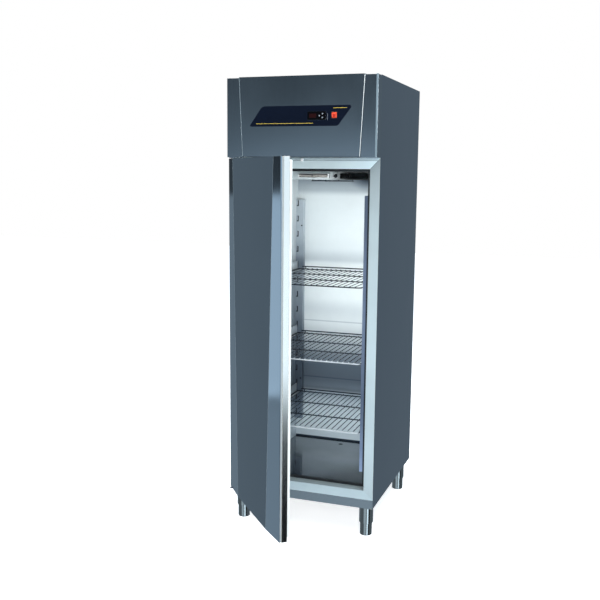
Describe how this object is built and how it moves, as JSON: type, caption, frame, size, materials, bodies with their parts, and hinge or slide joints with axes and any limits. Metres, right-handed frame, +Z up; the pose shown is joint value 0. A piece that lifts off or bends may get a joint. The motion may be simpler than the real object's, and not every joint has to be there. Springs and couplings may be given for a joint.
{
  "type": "refrigerated cabinet",
  "caption": "Upright steel refrigerated cabinet: full-height hinged door standing open, wire shelves on slotted uprights, header flap with controls, top motor space, screw feet.",
  "frame": {"origin": "on the floor, at the centre of the four feet, which is the centre of the closed cabinet", "axes": "+Z up, +Y to the back, +X to the right when facing the door"},
  "size_m": [0.6951, 1.3219, 2.067],
  "materials": {
    "outer_steel": "satin",
    "frame_steel": "satin",
    "rear_steel": "satin",
    "liner_steel": "polished",
    "fitting_steel": "satin",
    "shelf_wire": "bright plating",
    "leg_steel": "polished",
    "foam": "rigid foam",
    "black_plastic": "matt",
    "display_window": "gloss",
    "fascia_film": "satin gloss",
    "key_plastic": "satin",
    "switch_orange": "lit gloss",
    "gasket_rubber": "soft vinyl",
    "white_plastic": "satin",
    "hinge_steel": "dark zinc",
    "coil_fins": "fine fins",
    "fan_blades": "matt",
    "fan_alloy": "satin",
    "motor_case": "satin",
    "shroud_steel": "galvanised",
    "compressor_paint": "gloss enamel",
    "pipe_copper": "drawn copper",
    "box_plastic": "matt"
  },
  "bodies": {
    "cabinet": {"side_panel_left": "outer_steel", "side_panel_right": "outer_steel", "header_shell": "outer_steel", "base_tray": "outer_steel", "frame_stiles": "frame_steel", "frame_rails": "frame_steel", "back_panel": "rear_steel", "rear_grille": "rear_steel", "deck_panel": "rear_steel", "liner_sides": "liner_steel", "liner_back": "liner_steel", "liner_ceiling": "liner_steel", "floor_pan": "liner_steel", "evaporator_cover": "liner_steel", "uprights_front": "fitting_steel", "uprights_rear": "fitting_steel", "runners_upper": "fitting_steel", "runners_middle": "fitting_steel", "runners_lower": "fitting_steel", "upright_screws": "fitting_steel", "fan_guard": "shelf_wire", "leg_sockets": "leg_steel", "insulation": "foam", "breaker_strip": "black_plastic", "drain_pipe": "black_plastic", "door_sensor": "white_plastic", "interior_lamp": "white_plastic", "hinge_bracket_upper": "hinge_steel", "hinge_bracket_lower": "hinge_steel", "evaporator_coil": "coil_fins", "condenser_coil": "coil_fins", "evaporator_motor": "motor_case", "condenser_motor": "motor_case", "fan_shroud": "shroud_steel", "compressor": "compressor_paint", "refrigerant_pipes": "pipe_copper", "control_box": "box_plastic"},
    "door": {"door_skin": "outer_steel", "door_edge_trim": "black_plastic", "door_foam": "foam", "door_liner": "liner_steel", "door_gasket": "gasket_rubber", "door_bushes": "white_plastic"},
    "header_flap": {"header_flap": "outer_steel", "control_fascia": "fascia_film", "display_unit": "display_window", "switch_housing": "black_plastic"},
    "key_set": {"key_set": "key_plastic"},
    "key_up": {"key_up": "key_plastic"},
    "key_down": {"key_down": "key_plastic"},
    "power_switch": {"power_switch": "switch_orange"},
    "shelf_upper": {"shelf_upper": "shelf_wire"},
    "shelf_middle": {"shelf_middle": "shelf_wire"},
    "shelf_lower": {"shelf_lower": "shelf_wire"},
    "foot_front_left": {"foot_front_left": "leg_steel"},
    "foot_front_right": {"foot_front_right": "leg_steel"},
    "foot_rear_left": {"foot_rear_left": "leg_steel"},
    "foot_rear_right": {"foot_rear_right": "leg_steel"},
    "evaporator_fan": {"evaporator_fan": "fan_blades"},
    "condenser_fan": {"condenser_fan": "fan_alloy"}
  },
  "joints": [
    {"name": "door_hinge", "type": "hinge", "parent": "cabinet", "child": "door", "pos_m": [-0.326, -0.394, 0.94], "axis": [0, 0, -1], "range_deg": [-49, 61]},
    {"name": "flap_hinge", "type": "hinge", "parent": "cabinet", "child": "header_flap", "pos_m": [0, -0.401, 2.058], "axis": [-1, 0, 0], "range_deg": [0, 75]},
    {"name": "switch_pivot", "type": "hinge", "parent": "header_flap", "child": "power_switch", "pos_m": [0.155, -0.406, 1.898], "axis": [1, 0, 0], "range_deg": [-14, 0]},
    {"name": "key_set_travel", "type": "slide", "parent": "header_flap", "child": "key_set", "axis": [0, 1, 0], "range_m": [0, 0.0006], "stiffness_N_per_m": 300},
    {"name": "key_up_travel", "type": "slide", "parent": "header_flap", "child": "key_up", "axis": [0, 1, 0], "range_m": [0, 0.0006], "stiffness_N_per_m": 300},
    {"name": "key_down_travel", "type": "slide", "parent": "header_flap", "child": "key_down", "axis": [0, 1, 0], "range_m": [0, 0.0006], "stiffness_N_per_m": 300},
    {"name": "shelf_upper_slide", "type": "slide", "parent": "cabinet", "child": "shelf_upper", "axis": [0, -1, 0], "range_m": [0, 0.08]},
    {"name": "shelf_middle_slide", "type": "slide", "parent": "cabinet", "child": "shelf_middle", "axis": [0, -1, 0], "range_m": [0, 0.08]},
    {"name": "shelf_lower_slide", "type": "slide", "parent": "cabinet", "child": "shelf_lower", "axis": [0, -1, 0], "range_m": [0, 0.08]},
    {"name": "foot_front_left_screw", "type": "slide", "parent": "cabinet", "child": "foot_front_left", "axis": [0, 0, -1], "range_m": [0, 0.035]},
    {"name": "foot_front_right_screw", "type": "slide", "parent": "cabinet", "child": "foot_front_right", "axis": [0, 0, -1], "range_m": [0, 0.035]},
    {"name": "foot_rear_left_screw", "type": "slide", "parent": "cabinet", "child": "foot_rear_left", "axis": [0, 0, -1], "range_m": [0, 0.035]},
    {"name": "foot_rear_right_screw", "type": "slide", "parent": "cabinet", "child": "foot_rear_right", "axis": [0, 0, -1], "range_m": [0, 0.035]},
    {"name": "evaporator_fan_spin", "type": "hinge", "parent": "cabinet", "child": "evaporator_fan", "pos_m": [0, 0.062, 1.6402], "axis": [0, 0, 1], "continuous": true},
    {"name": "condenser_fan_spin", "type": "hinge", "parent": "cabinet", "child": "condenser_fan", "pos_m": [-0.17, -0.242, 1.911], "axis": [0, 1, 0], "continuous": true}
  ]
}
